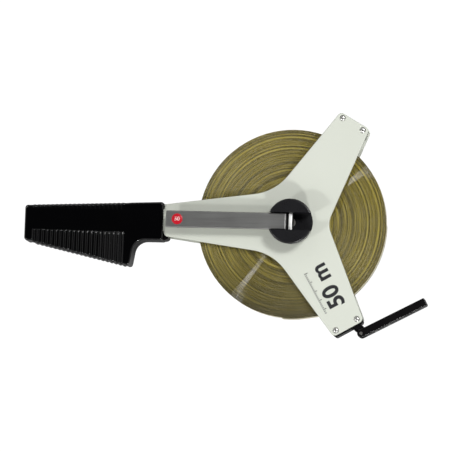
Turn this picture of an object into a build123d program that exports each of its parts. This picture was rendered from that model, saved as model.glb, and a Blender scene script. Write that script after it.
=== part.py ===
from build123d import *
import os
from math import atan2, cos, degrees, hypot, radians, sin, sqrt, tan

# Open-frame surveyor's tape reel, lying flat with its crank side up.
# Millimetres. +Z runs along the reel axis, and z = 0 is the flat the reel lies on.
# The handle points along -X; the two short arms point 60 degrees either side of +X.

# ---- driving dimensions -------------------------------------------------------

# tape
tape_width = 13.0
tape_thickness = 0.5
coil_radius = 94.7            # outside of the wound tape
drum_radius = 33.0            # the tape's innermost turn lies on this

# frame plates
plate_thickness = 3.0
plate_side_gap = 2.0          # from the tape's edge to the plate, each side
plate_edge_round = 1.0
arm_root_width = 67.0         # width of an arm, drawn back to the reel axis
arm_tip_width = 34.0
arm_reach = 120.5             # reel axis to the end edge of a short arm
arm_corner_radius = 4.5
handle_arm_reach = 128.5      # reel axis to the long arm's end, beside the handle
left_web_radius = 50.0        # inside corners beside the handle arm
right_web_radius = 24.0       # inside corner between the short arms
tang_width = 22.0             # the narrow tongue of each plate inside the handle
tang_length = 44.0
tang_clearance = 0.2
short_arm_angle = 60.0

# rivets
rivet_radius = 2.0
rivet_head_radius = 3.15
rivet_head_height = 1.6
rivet_inset = 4.5             # rivet centre to the arm's end edge
rivet_spacing = 23.6

# bearings and axle
axle_radius = 6.0
running_clearance = 0.05
bush_wall = 3.0
bush_flange = 0.6             # thickness of the thrust flange inside the plate
bush_flange_overhang = 2.0
part_gap = 0.3                # between pieces that turn past each other
axle_square = 8.0             # across the flats of the end that drives the hub
ring_thickness = 1.0
key_width = 4.0
key_height = 4.0
key_length = 9.0
rear_cap_radius = 20.0
rear_cap_height = 4.0
rear_cap_wall = 1.2
cap_screw_radius = 1.5
cap_screw_head_radius = 2.8

# spool
spool_flange_radius = 37.0
spool_flange_thickness = 1.0
drum_wall = 4.0
drum_web = 4.0
spool_boss_radius = 16.0
flange_screw_radius = 1.25
flange_screw_head_radius = 2.2
lightening_hole_radius = 5.0

# hub
hub_radius = 22.8             # at its rim
hub_foot_radius = 21.4        # at the frame plate
hub_rim_round = 1.8
hub_boss_radius = 10.0
hub_plate_gap = 0.5
slot_floor_height = 3.0       # slot floor above the frame plate
slot_side_clearance = 0.5
hub_screw_radius = 2.5
hub_screw_head_radius = 4.5

# crank
crank_width = 16.8
crank_thickness = 2.0
crank_reach = 125.0           # reel axis to the strip's outer end
crank_rise = 4.9              # the strip's top face above its hinge pin
crank_fold_gap = 0.7          # under the strip when it is folded out
crank_inset = 4.0             # the strip's top face below the hub's top
crank_end_round = 1.5
knuckle_radius = 3.0
knuckle_width = 15.4
hinge_pin_radius = 1.75
knob_offset = 113.5           # reel axis to the knob's axis
knob_radius = 7.8
knob_arm_gap = 0.8            # between the knob and the rivet heads it passes over
stud_radius = 2.5
stud_head_radius = 4.6
stud_head_height = 1.6
badge_radius = 5.5
badge_height = 0.8

# handle
handle_tail = 269.3           # reel axis to the handle's far end
handle_wall = 3.0
handle_edge_round = 2.2
handle_gap = 0.5              # between the handle and the end of the plates
handle_top_front = 17.9       # y of the top edge beside the plates
handle_top_tail = 12.2        # y of the top edge at the far end
notch_depth_y = 20.4          # y of the finger notch, below the axis
nose_x = 162.0                # lowest point of the grip, ahead of the fingers
nose_drop = 47.5
tail_drop = 23.3
notch_round = 13.0
grip_corner = 3.6
handle_front_corner = 2.3     # plan corners beside the plates
screw_boss_radius = 5.0
handle_screw_radius = 1.75
handle_screw_head = 3.2
neck_reach = 4.6              # how far the neck piece runs in between the plates
screw_seat_z = 2.4            # under the screw heads, above the handle's rear side
screw_tip_cover = 1.6         # plastic left over the screw tips
handle_screw_places = [(-145.0, -1.5), (-162.0, -1.5), (-212.0, -8.0), (-252.0, -5.0)]
tang_screws = 2               # the first screws pass through the plates' tongues

# tape mouth, end link and pull bar
block_depth = 12.0            # of each end block, along the arm
mouth_proud = 1.5             # the mouth block stands this far past the arm's end
block_side_inset = 1.2
brace_thickness = 1.4
lead_wrap = 14.0              # degrees of tape that still hug the coil
roller_radius = 4.5
roller_pin_radius = 1.5
exit_roller_run = 11.0        # from the entry roller to the exit roller
mouth_heading = -32.0         # direction of the tape in the mouth
mouth_offset = 4.7            # where the tape crosses the arm's end edge, from its middle
mouth_run = 22.4              # straight tape from the entry roller to that edge
mouth_opening = 4.4
link_thickness = 1.6
link_lap = 9.0                # length of tape riveted to the link
link_reach = 10.5             # arm's end edge to the pull bar's hinge
link_eye_radius = 2.7
link_eye_width = 8.0
fitting_width = 6.4           # black fitting on the link, between the mouth and the bar
fitting_gap = 0.4             # from the fitting to the mouth block and to the bar
fitting_rivet_depth = 2.0     # how far its rivet reaches in past the link
bar_pin_radius = 1.6
bar_heading = 28.0
bar_length = 71.7             # hinge to the bar's far end
bar_width = 8.0
bar_round = 0.8
bar_corner = 1.8              # plan corners at the bar's far end
bar_rivet_radius = 1.4
bar_rivet_places = [14.5, 29.0]
tape_rivet_radius = 1.1

# ---- places worked out from them ----------------------------------------------

rear_outer_z = rear_cap_height
rear_inner_z = rear_outer_z + plate_thickness
front_inner_z = rear_inner_z + tape_width + 2 * plate_side_gap
front_outer_z = front_inner_z + plate_thickness
middle_z = (rear_inner_z + front_inner_z) / 2
handle_depth = 2 * middle_z

tape_low_z = middle_z - tape_width / 2
tape_high_z = middle_z + tape_width / 2
spool_low_z = rear_inner_z + bush_flange + part_gap
spool_high_z = front_inner_z - bush_flange - part_gap
drum_low_z = spool_low_z + spool_flange_thickness
drum_high_z = spool_high_z - spool_flange_thickness

slot_floor_z = front_outer_z + slot_floor_height
hinge_z = slot_floor_z + crank_fold_gap + crank_rise
crank_top_z = hinge_z + crank_rise
crank_low_z = crank_top_z - crank_thickness
hub_low_z = front_outer_z + hub_plate_gap
hub_top_z = crank_top_z + crank_inset
slot_width = crank_width + 2 * slot_side_clearance

bush_bore = hub_boss_radius + running_clearance
rear_bore = axle_radius + running_clearance

taper = (arm_root_width - arm_tip_width) / 2 / arm_reach


# ---- helpers ------------------------------------------------------------------

def rod(x, y, low, high, radius):
    """Upright round bar between two heights."""
    return Pos(x, y, (low + high) / 2) * Cylinder(radius, high - low)


def ring(x, y, low, high, outer, inner):
    """Upright tube between two heights."""
    return rod(x, y, low, high, outer) - rod(x, y, low, high, inner)


def block(x0, x1, y0, y1, z0, z1):
    """Box given by its limits."""
    return Pos((x0 + x1) / 2, (y0 + y1) / 2, (z0 + z1) / 2) * Box(x1 - x0, y1 - y0, z1 - z0)


def prism(points, radii, low, high):
    """Upright prism on a closed outline with rounded corners."""
    outline = FilletPolyline(*points, radius=radii, close=True)
    return Pos(0, 0, low) * extrude(make_face(outline), high - low)


def dome(x, y, base, radius, height, up=1):
    """Low spherical cap standing on a flat."""
    ball = (radius ** 2 + height ** 2) / (2 * height)
    cap = Pos(0, 0, height - ball) * Sphere(ball)
    cap = cap & block(-radius, radius, -radius, radius, 0, height + 1)
    return Pos(x, y, base) * (cap if up > 0 else Rot(180, 0, 0) * cap)


def along(angle, distance, side=0.0):
    """Point at a distance along a heading, and to its left by side."""
    a = radians(angle)
    return (distance * cos(a) - side * sin(a), distance * sin(a) + side * cos(a))


def add(a, b):
    return (a[0] + b[0], a[1] + b[1])


def arm_half_width(distance):
    return arm_root_width / 2 - taper * distance


def group(solids):
    return Compound(children=list(solids))


def save(shape, name):
    shape.label = name
    export_step(shape, f"parts/{name}.step")


os.makedirs("parts", exist_ok=True)


# ---- frame plates ---------------------------------------------------------------

def web_corner(angle_a, angle_b):
    """Where the facing edges of two arms would cross, before rounding."""
    half = (angle_b - angle_a) / 2
    distance = arm_root_width / 2 / (sin(radians(half)) + taper * cos(radians(half)))
    return along((angle_a + angle_b) / 2, distance)


upper, lower = short_arm_angle, -short_arm_angle
tip = arm_half_width(arm_reach)
neck = arm_half_width(handle_arm_reach)
short_arm_rivets = [along(arm, arm_reach - rivet_inset, side * rivet_spacing / 2)
                    for arm in (upper, lower) for side in (1, -1)]


def plate_outline(low):
    """Three tapered arms round the reel axis."""
    points = [
        web_corner(lower, upper),
        along(upper, arm_reach, -tip), along(upper, arm_reach, tip),
        web_corner(upper, 180),
        (-handle_arm_reach, neck), (-handle_arm_reach, -neck),
        web_corner(180, 360 + lower),
        along(lower, arm_reach, -tip), along(lower, arm_reach, tip),
    ]
    radii = [right_web_radius, arm_corner_radius, arm_corner_radius, left_web_radius,
             1.5, arm_corner_radius, left_web_radius, arm_corner_radius, arm_corner_radius]
    return prism(points, radii, low, low + plate_thickness)


def frame_plate(low, bore, outer_face):
    """One plate with its rounded rim, its tongue and its holes."""
    plate = plate_outline(low)
    rim = plate.faces().sort_by(Axis.Z)[-1 if outer_face > 0 else 0].edges()
    plate = fillet(rim, plate_edge_round)
    high = low + plate_thickness
    plate += block(-handle_arm_reach - tang_length, -handle_arm_reach + 6,
                   -tang_width / 2, tang_width / 2, low, high)
    plate -= rod(0, 0, low - 1, high + 1, bore)
    for x, y in short_arm_rivets:
        plate -= rod(x, y, low - 1, high + 1, rivet_radius)
    for x, y in handle_screw_places[:tang_screws]:
        plate -= rod(x, y, low - 1, high + 1, handle_screw_radius)
    return plate


front_bush_outer = bush_bore + bush_wall
rear_bush_outer = rear_bore + bush_wall
cap_screw_places = [along(90 + 120 * i, rear_cap_radius - 4.0) for i in range(3)]

front_plate = frame_plate(front_inner_z, front_bush_outer, 1)
rear_plate = frame_plate(rear_outer_z, rear_bush_outer, -1)
for x, y in cap_screw_places:
    rear_plate -= rod(x, y, rear_outer_z - 1, rear_inner_z + 1, cap_screw_radius)
save(front_plate, "front_plate")
save(rear_plate, "rear_plate")

rivets = []
for x, y in short_arm_rivets:
    rivet = rod(x, y, rear_outer_z, front_outer_z, rivet_radius)
    rivet += dome(x, y, front_outer_z, rivet_head_radius, rivet_head_height)
    rivet += dome(x, y, rear_outer_z, rivet_head_radius, rivet_head_height, -1)
    rivets.append(rivet)
save(group(rivets), "frame_rivets")


# ---- end blocks between the plates ----------------------------------------------

def end_block(arm, reach):
    """Plastic block that fills an arm's end between the plates."""
    inner = arm_reach - block_depth
    wide, narrow = (arm_half_width(d) - block_side_inset for d in (inner, arm_reach))
    points = [along(arm, inner, -wide), along(arm, reach, -narrow),
              along(arm, reach, narrow), along(arm, inner, wide)]
    shape = prism(points, [2.0, 2.5, 2.5, 2.0], rear_inner_z, front_inner_z)
    for side in (1, -1):
        x, y = along(arm, arm_reach - rivet_inset, side * rivet_spacing / 2)
        shape -= rod(x, y, rear_inner_z - 1, front_inner_z + 1, rivet_radius)
    return shape


# The tape leaves the coil on a tangent, turns round the entry roller, and runs
# straight out of the mouth. The coil lies to its left and the roller to its right.
lead_radius = coil_radius + part_gap + tape_thickness / 2
turn_radius = roller_radius + part_gap + tape_thickness / 2
mouth_point = along(lower, arm_reach, mouth_offset)
turn_exit = add(mouth_point, along(mouth_heading, -mouth_run))
turn_centre = add(turn_exit, along(mouth_heading, 0, -turn_radius))
lead_offset = lead_radius + turn_radius
lead_run = sqrt(hypot(*turn_centre) ** 2 - lead_offset ** 2)
lead_heading = degrees(atan2(turn_centre[1], turn_centre[0]) + atan2(lead_offset, lead_run))
lead_off_angle = lead_heading - 90
lead_start = along(lead_off_angle, lead_radius)
exit_roller = add(turn_exit, along(mouth_heading, exit_roller_run, turn_radius))
link_side = -(tape_thickness + link_thickness) / 2
hinge_point = add(turn_exit, along(mouth_heading, mouth_run + link_reach, link_side))


def run_box(start, end, side_low, side_high, low, high):
    """Box along the mouth's run, from turn_exit, between two offsets to its left."""
    shape = block(start, end, side_low, side_high, low, high)
    return Pos(turn_exit[0], turn_exit[1], 0) * Rot(0, 0, mouth_heading) * shape


upper_block = end_block(upper, arm_reach - brace_thickness - 0.6)
mouth_block = end_block(lower, arm_reach + mouth_proud)
mouth_block -= run_box(-8, mouth_run + 8, -mouth_opening / 2 - 0.4, mouth_opening / 2 - 0.4,
                       tape_low_z - 0.6, tape_high_z + 0.6)
mouth_block -= rod(*turn_centre, rear_inner_z - 1, front_inner_z + 1, roller_radius + 0.8)
mouth_block -= rod(*exit_roller, rear_inner_z - 1, front_inner_z + 1, roller_radius + 0.8)
save(upper_block, "upper_end_block")
save(mouth_block, "mouth_block")

brace_inner = arm_reach - brace_thickness - 0.6
leg_low, leg_high = arm_reach - 7.5, arm_reach - 0.6
leg = arm_half_width(arm_reach) - block_side_inset
upper_brace = prism(
    [along(upper, leg_low, -leg - 0.8), along(upper, leg_high, -leg),
     along(upper, leg_high, leg), along(upper, leg_low, leg + 0.8)],
    [0.6, 3.0, 3.0, 0.6], rear_inner_z, front_inner_z)
upper_brace -= prism(
    [along(upper, leg_low - 1, -leg - 0.1), along(upper, brace_inner, -leg + 0.6),
     along(upper, brace_inner, leg - 0.6), along(upper, leg_low - 1, leg + 0.1)],
    [0.4, 2.2, 2.2, 0.4], rear_inner_z - 1, front_inner_z + 1)
upper_brace -= upper_block
for x, y in short_arm_rivets[:2]:
    upper_brace -= rod(x, y, rear_inner_z - 1, front_inner_z + 1, rivet_radius)
save(upper_brace, "upper_brace")

roller_places = {"entry_roller": turn_centre, "exit_roller": exit_roller}
for name, (x, y) in roller_places.items():
    roller = ring(x, y, rear_inner_z + part_gap, front_inner_z - part_gap,
                  roller_radius, roller_pin_radius + running_clearance)
    save(roller, name)
save(group(rod(x, y, rear_inner_z, front_inner_z, roller_pin_radius)
           for x, y in roller_places.values()), "roller_pins")


# ---- tape between the coil and the mouth, end link, pull bar ----------------------

def tape_lead():
    """Stretch of tape from the coil, round the entry roller, to the end link."""
    turn_start = add(turn_centre, along(lead_heading, 0, turn_radius))
    end = add(turn_exit, along(mouth_heading, mouth_run))
    tape = bent_tape(lead_radius, lead_off_angle - lead_wrap, lead_off_angle)
    tape += flat_tape(lead_start, turn_start, lead_heading)
    tape += Pos(*turn_centre, 0) * bent_tape(turn_radius, mouth_heading + 90, lead_heading + 90)
    tape += flat_tape(turn_exit, end, mouth_heading)
    return tape


def bent_tape(radius, angle_a, angle_b):
    """Tape that follows a circle about the origin, between two angles."""
    half = tape_thickness / 2
    far = radius * 1.5
    slice_points = [(0, 0), along(angle_a, far), along((angle_a + angle_b) / 2, far),
                    along(angle_b, far)]
    pie = Pos(0, 0, tape_low_z) * extrude(make_face(Polyline(*slice_points, close=True)),
                                          tape_width)
    return ring(0, 0, tape_low_z, tape_high_z, radius + half, radius - half) & pie


def flat_tape(start, end, heading):
    """Straight run of tape between two points that lie along the heading."""
    length = hypot(end[0] - start[0], end[1] - start[1])
    half = tape_thickness / 2
    return Pos(*start, 0) * Rot(0, 0, heading) * block(0, length, -half, half,
                                                       tape_low_z, tape_high_z)


tape_rivet_runs = [mouth_run - link_lap + 2.5, mouth_run - 2.0]


def tape_rivet(run, low_side, high_side, radius):
    """Small rivet through tape and link, across the mouth's run."""
    length = high_side - low_side
    pin = Pos(run, (low_side + high_side) / 2, middle_z) * Rot(90, 0, 0) * Cylinder(radius, length)
    return Pos(turn_exit[0], turn_exit[1], 0) * Rot(0, 0, mouth_heading) * pin


link_far = mouth_run + link_reach
link_low_side = link_side - link_thickness / 2
link_high_side = link_side + link_thickness / 2
eye_low_z, eye_high_z = middle_z - link_eye_width / 2, middle_z + link_eye_width / 2
tape_end_link = run_box(mouth_run - link_lap, link_far - 6.0, link_low_side, link_high_side,
                        tape_low_z, tape_high_z)
tape_end_link += run_box(link_far - 6.5, link_far - 1.0, link_low_side, link_high_side,
                         eye_low_z, eye_high_z)
tape_end_link += rod(*hinge_point, eye_low_z, eye_high_z, link_eye_radius)
tape_end_link -= rod(*hinge_point, eye_low_z - 1, eye_high_z + 1,
                     bar_pin_radius + running_clearance)
lead = tape_lead()

# The fitting fills the corner between the mouth block's face and the bar's near side.
skew = lower - mouth_heading
slope = -sin(radians(skew)) / cos(radians(skew))
mouth_face_run = mouth_run + (mouth_proud + fitting_gap) / cos(radians(skew))
half_bar = bar_width / 2
swing_room = half_bar + fitting_gap
fitting_low = -tape_thickness / 2
fitting_high = fitting_low + fitting_width
turn = bar_heading - mouth_heading
bar_side_run = (link_far + (fitting_high - link_side) / tan(radians(turn))
                - swing_room / sin(radians(turn)))
fitting_points = [
    (mouth_face_run + slope * fitting_low, fitting_low),
    (link_far - swing_room, fitting_low), (link_far - swing_room, link_side + half_bar / 2),
    (bar_side_run, fitting_high), (mouth_face_run + slope * fitting_high, fitting_high)]
end_fitting = prism(fitting_points, [0.4, 0.3, 0.8, 0.8, 0.8], rear_inner_z, front_inner_z)
fitting_rivet_run = link_far - swing_room - tape_rivet_radius - 0.5
end_fitting = Pos(*turn_exit, 0) * Rot(0, 0, mouth_heading) * end_fitting
fitting_hole = tape_rivet(fitting_rivet_run, -5, fitting_low + fitting_rivet_depth, tape_rivet_radius)
tape_end_link -= fitting_hole
save(end_fitting - fitting_hole, "end_fitting")

fitting_rivet = tape_rivet(fitting_rivet_run, link_low_side, fitting_low + fitting_rivet_depth,
                           tape_rivet_radius)
fitting_rivet += tape_rivet(fitting_rivet_run, link_low_side - 0.5, link_low_side,
                            tape_rivet_radius + 0.7)
link_rivets = [fitting_rivet]
for run in tape_rivet_runs:
    hole = tape_rivet(run, -5, 5, tape_rivet_radius)
    tape_end_link -= hole
    lead -= hole
    shank = tape_rivet(run, link_low_side, tape_thickness / 2, tape_rivet_radius)
    heads = tape_rivet(run, tape_thickness / 2, tape_thickness / 2 + 0.5, tape_rivet_radius + 0.7)
    heads += tape_rivet(run, link_low_side - 0.5, link_low_side, tape_rivet_radius + 0.7)
    link_rivets.append(shank + heads)
save(lead, "tape_lead")
save(tape_end_link, "tape_end_link")
save(group(link_rivets), "link_rivets")


def on_bar(shape):
    """Places something drawn along +X from the hinge onto the pull bar's line."""
    return Pos(hinge_point[0], hinge_point[1], 0) * Rot(0, 0, bar_heading) * shape


bar = Pos(0, 0, rear_inner_z) * extrude(
    make_face(FilletPolyline((-half_bar, -half_bar), (bar_length, -half_bar),
                             (bar_length, half_bar), (-half_bar, half_bar),
                             radius=[half_bar - 0.05, bar_corner, bar_corner, half_bar - 0.05],
                             close=True)),
    front_inner_z - rear_inner_z)
bar = fillet(bar.faces().sort_by(Axis.Z)[-1].edges() + bar.faces().sort_by(Axis.Z)[0].edges(),
             bar_round)
eye_slot = link_eye_width / 2 + part_gap
bar -= block(-half_bar - 1, link_eye_radius + 0.9, -half_bar - 1, half_bar + 1,
             middle_z - eye_slot, middle_z + eye_slot)
bar -= rod(0, 0, rear_inner_z - 1, front_inner_z + 1, bar_pin_radius)
for run in bar_rivet_places:
    bar -= Pos(run, 0, middle_z) * Rot(90, 0, 0) * Cylinder(bar_rivet_radius, bar_width + 2)
save(on_bar(bar), "pull_bar")
save(rod(*hinge_point, rear_inner_z, front_inner_z, bar_pin_radius), "bar_pin")
bar_rivets = []
for run in bar_rivet_places:
    shank = Pos(run, 0, middle_z) * Rot(90, 0, 0) * Cylinder(bar_rivet_radius, bar_width)
    for side in (1, -1):
        head = dome(0, 0, 0, bar_rivet_radius + 0.9, 0.7)
        shank += Pos(run, side * half_bar, middle_z) * Rot(-90 * side, 0, 0) * head
    bar_rivets.append(on_bar(shank))
save(group(bar_rivets), "bar_rivets")


# ---- bearings, axle and rear cap --------------------------------------------------

front_bush = ring(0, 0, front_inner_z, front_outer_z, front_bush_outer, bush_bore)
front_bush += ring(0, 0, front_inner_z - bush_flange, front_inner_z,
                   front_bush_outer + bush_flange_overhang, bush_bore)
save(front_bush, "front_bush")

rear_bush = ring(0, 0, rear_outer_z, rear_inner_z, rear_bush_outer, rear_bore)
rear_bush += ring(0, 0, rear_inner_z, rear_inner_z + bush_flange,
                  rear_bush_outer + bush_flange_overhang, rear_bore)
save(rear_bush, "rear_bush")

ring_high_z = rear_outer_z - 0.2
ring_low_z = ring_high_z - ring_thickness
groove_radius = axle_radius - 0.8
axle_low_z = ring_low_z - 0.7
boss_low_z = spool_high_z
square_high_z = hub_low_z - 0.4
square_half = axle_square / 2
key_low_z = middle_z - key_length / 2
key_high_z = middle_z + key_length / 2
screw_low_z = square_high_z - 11.0
square = block(-square_half, square_half, -square_half, square_half, boss_low_z, square_high_z)

axle = rod(0, 0, axle_low_z, boss_low_z, axle_radius) + square
axle -= ring(0, 0, ring_low_z, ring_high_z, axle_radius + 1, groove_radius)
axle -= block(axle_radius - key_height / 2, axle_radius + 1, -key_width / 2, key_width / 2,
              key_low_z, key_high_z)
axle -= rod(0, 0, screw_low_z, square_high_z + 1, hub_screw_radius)
save(axle, "axle")
save(block(axle_radius - key_height / 2, axle_radius + key_height / 2,
           -key_width / 2, key_width / 2, key_low_z, key_high_z), "axle_key")

retaining_ring = ring(0, 0, ring_low_z, ring_high_z, axle_radius + 2.2, groove_radius)
retaining_ring -= block(0, axle_radius + 4, -1.4, 1.4, ring_low_z - 1, ring_high_z + 1)
save(retaining_ring, "retaining_ring")

rear_cap = rod(0, 0, 0, rear_cap_height, rear_cap_radius)
rear_cap = fillet(rear_cap.edges().sort_by(Axis.Z)[0], 1.0)
rear_cap -= rod(0, 0, rear_cap_wall, rear_cap_height + 1, rear_cap_radius - 8.0)
cap_screws = []
cap_seat_z = 2.2
for x, y in cap_screw_places:
    rear_cap -= rod(x, y, -1, rear_cap_height + 1, cap_screw_radius)
    rear_cap -= rod(x, y, -1, cap_seat_z, cap_screw_head_radius)
    cap_screws.append(rod(x, y, 0.4, cap_seat_z, cap_screw_head_radius)
                      + rod(x, y, cap_seat_z, rear_inner_z - 0.5, cap_screw_radius))
save(rear_cap, "rear_cap")
save(group(cap_screws), "rear_cap_screws")


# ---- spool and wound tape -----------------------------------------------------------

flange_screw_places = [along(60 * i + 30, drum_radius - drum_wall / 2) for i in range(6)]
drum = ring(0, 0, drum_low_z, drum_high_z, drum_radius, drum_radius - drum_wall)
drum += ring(0, 0, drum_low_z, drum_high_z, spool_boss_radius, axle_radius)
drum += ring(0, 0, middle_z - drum_web / 2, middle_z + drum_web / 2,
             drum_radius - drum_wall, spool_boss_radius)
for i in range(6):
    x, y = along(60 * i, (drum_radius - drum_wall + spool_boss_radius) / 2)
    drum -= rod(x, y, drum_low_z, drum_high_z, lightening_hole_radius)
drum -= block(axle_radius - 1, axle_radius + key_height / 2, -key_width / 2, key_width / 2,
              key_low_z, key_high_z)
for x, y in flange_screw_places:
    drum -= rod(x, y, drum_low_z - 1, drum_high_z + 1, flange_screw_radius)
save(drum, "spool_drum")


def csk(x, y, face, depth, radius, shank, up):
    """Countersunk head: a cone that narrows away from the face."""
    cone = Pos(0, 0, -depth / 2) * Cone(shank, radius, depth)
    return Pos(x, y, face) * (cone if up > 0 else Rot(180, 0, 0) * cone)


def spool_flange(low, face, up):
    """Thin disc that keeps the tape's edge in place."""
    disc = ring(0, 0, low, low + spool_flange_thickness, spool_flange_radius, axle_radius)
    for x, y in flange_screw_places:
        disc -= csk(x, y, face, spool_flange_thickness, flange_screw_head_radius,
                    flange_screw_radius, up)
    return disc


save(spool_flange(drum_high_z, spool_high_z, 1), "spool_front_flange")
save(spool_flange(spool_low_z, spool_low_z, -1), "spool_rear_flange")
flange_screws = []
screw_grip = 4.5
for x, y in flange_screw_places:
    for face, up in ((spool_high_z, 1), (spool_low_z, -1)):
        start = face - up * spool_flange_thickness
        low, high = sorted((start, start - up * screw_grip))
        flange_screws.append(csk(x, y, face, spool_flange_thickness, flange_screw_head_radius,
                                 flange_screw_radius, up)
                             + rod(x, y, low, high, flange_screw_radius))
save(group(flange_screws), "flange_screws")
save(ring(0, 0, tape_low_z, tape_high_z, coil_radius, drum_radius), "tape_coil")


# ---- hub and folding crank ------------------------------------------------------------

hub_height = hub_top_z - hub_low_z
hub = Pos(0, 0, (hub_low_z + hub_top_z) / 2) * Cone(hub_foot_radius, hub_radius, hub_height)
hub = fillet(hub.edges().sort_by(Axis.Z)[-1], hub_rim_round)
hub += rod(0, 0, boss_low_z, hub_low_z, hub_boss_radius)
hub -= block(-hub_radius - 1, hub_radius + 1, -slot_width / 2, slot_width / 2,
             slot_floor_z, hub_top_z + 1)
hub -= block(-square_half, square_half, -square_half, square_half, boss_low_z - 1,
             square_high_z)
hub -= rod(0, 0, boss_low_z, slot_floor_z, hub_screw_radius)
csk_depth = 1.8
hub -= csk(0, 0, slot_floor_z, csk_depth, hub_screw_head_radius, hub_screw_radius, 1)
pin_line = Pos(0, 0, hinge_z) * Rot(90, 0, 0)
hub -= pin_line * Cylinder(hinge_pin_radius, 3 * hub_radius)
save(hub, "crank_hub")
save(csk(0, 0, slot_floor_z, csk_depth, hub_screw_head_radius, hub_screw_radius, 1)
     + rod(0, 0, screw_low_z + 0.5, slot_floor_z - csk_depth, hub_screw_radius), "hub_screw")
save(pin_line * Cylinder(hinge_pin_radius, 2 * hub_foot_radius - 1.5), "crank_hinge_pin")

strip_root = -knuckle_radius - 1.4
plan = make_face(FilletPolyline(
    (-crank_reach, -crank_width / 2), (strip_root, -crank_width / 2),
    (strip_root, crank_width / 2), (-crank_reach, crank_width / 2),
    radius=[crank_end_round, 0.3, 0.3, crank_end_round], close=True))
crank = Pos(0, 0, crank_low_z) * extrude(plan, crank_thickness)
half_knuckle = knuckle_width / 2
bend = block(strip_root - crank_thickness, strip_root, -half_knuckle, half_knuckle,
             hinge_z - crank_thickness / 2, crank_top_z)
crank += bend
outer_edge = crank.edges().filter_by(Axis.Y).sort_by(lambda e: e.center().X + e.center().Z)[-1]
crank = fillet(outer_edge, 1.2)
crank += block(strip_root - 0.5, -1.0, -half_knuckle, half_knuckle,
               hinge_z - crank_thickness / 2, hinge_z + crank_thickness / 2)
crank += pin_line * Cylinder(knuckle_radius, knuckle_width)
crank -= pin_line * Cylinder(hinge_pin_radius + running_clearance, 3 * crank_width)
crank -= rod(-knob_offset, 0, crank_low_z - 1, crank_top_z + 1, stud_radius - 0.5)
save(crank, "crank_strip")

knob_low_z = front_outer_z + rivet_head_height + knob_arm_gap
knob_high_z = crank_low_z - part_gap
stud_head_low_z = knob_low_z + 0.2
stud_head_high_z = stud_head_low_z + stud_head_height
knob = rod(-knob_offset, 0, knob_low_z, knob_high_z, knob_radius)
knob = fillet(knob.edges(), 1.4)
knob -= rod(-knob_offset, 0, knob_low_z - 1, knob_high_z + 1, stud_radius + running_clearance)
knob -= rod(-knob_offset, 0, knob_low_z - 1, stud_head_high_z + part_gap,
            stud_head_radius + part_gap)
save(knob, "crank_knob")
stud = rod(-knob_offset, 0, stud_head_low_z, stud_head_high_z, stud_head_radius)
stud += rod(-knob_offset, 0, stud_head_high_z, crank_low_z, stud_radius)
stud += rod(-knob_offset, 0, crank_low_z, crank_top_z, stud_radius - 0.5)
save(stud, "knob_stud")
save(dome(-knob_offset, 0, crank_top_z, badge_radius, badge_height), "crank_badge")


# ---- handle ---------------------------------------------------------------------------

handle_front_x = -handle_arm_reach - handle_gap
handle_points = [
    (-handle_tail, handle_top_tail), (handle_front_x, handle_top_front),
    (handle_front_x, -notch_depth_y), (-nose_x + 4.2, -notch_depth_y),
    (-nose_x, -nose_drop), (-handle_tail, -tail_drop),
]
handle_radii = [grip_corner, handle_front_corner, handle_front_corner, notch_round,
                grip_corner, grip_corner]
screw_end_z = handle_depth - screw_tip_cover


def handle_shell(front):
    """One moulded half, from the joint plane outwards, hollow and open at the joint."""
    low, high = (middle_z, handle_depth) if front else (0, middle_z)
    face = make_face(FilletPolyline(*handle_points, radius=handle_radii, close=True))
    shell = Pos(0, 0, low) * extrude(face, high - low)
    outer = shell.faces().sort_by(Axis.Z)[-1 if front else 0]
    shell = fillet(outer.edges(), handle_edge_round)
    hollow = make_face(offset(face, amount=-handle_wall).wire())
    inner_z = handle_depth - handle_wall if front else handle_wall
    cavity_low, cavity_high = sorted((inner_z, middle_z))
    shell -= Pos(0, 0, cavity_low) * extrude(hollow, cavity_high - cavity_low)
    tang_face = front_outer_z if front else rear_outer_z
    mouth_low, mouth_high = sorted((tang_face, middle_z))
    reach = tang_width / 2 + tang_clearance
    shell -= block(handle_front_x - handle_wall - 1, handle_front_x + 1, -reach, reach,
                   mouth_low, mouth_high)
    for i, (x, y) in enumerate(handle_screw_places):
        boss_end = tang_face if i < tang_screws else middle_z
        boss_low, boss_high = sorted((boss_end, inner_z))
        shell += rod(x, y, boss_low, boss_high, screw_boss_radius)
    for x, y in handle_screw_places:
        if front:
            shell -= rod(x, y, middle_z, screw_end_z, handle_screw_radius)
        else:
            shell -= rod(x, y, 0, middle_z, handle_screw_radius)
            shell -= rod(x, y, 0, screw_seat_z, handle_screw_head)
    return shell


save(handle_shell(True), "handle_front_shell")
save(handle_shell(False), "handle_rear_shell")
save(group(rod(x, y, 0.8, screw_seat_z, handle_screw_head)
           + rod(x, y, screw_seat_z, screw_end_z - 0.4, handle_screw_radius)
           for x, y in handle_screw_places), "handle_screws")

neck_low_x = -handle_arm_reach - tang_length
neck_lip_x = -handle_arm_reach + neck_reach
neck_block = block(neck_low_x, -handle_arm_reach, -tang_width / 2, tang_width / 2,
                   rear_inner_z, front_inner_z)
neck_block += prism(
    [(-handle_arm_reach - handle_gap + 0.2, neck - 0.6), (neck_lip_x, neck - 1.2),
     (neck_lip_x, -notch_depth_y + 1.4), (-handle_arm_reach - handle_gap + 0.2, -notch_depth_y)],
    [0.4, 2.0, 3.0, 0.4], rear_inner_z, front_inner_z)
for x, y in handle_screw_places[:tang_screws]:
    neck_block -= rod(x, y, rear_inner_z - 1, front_inner_z + 1, handle_screw_radius)
save(neck_block, "neck_block")
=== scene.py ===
import math
import bpy
import bmesh
import numpy as np
from mathutils import Matrix, Vector


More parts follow.
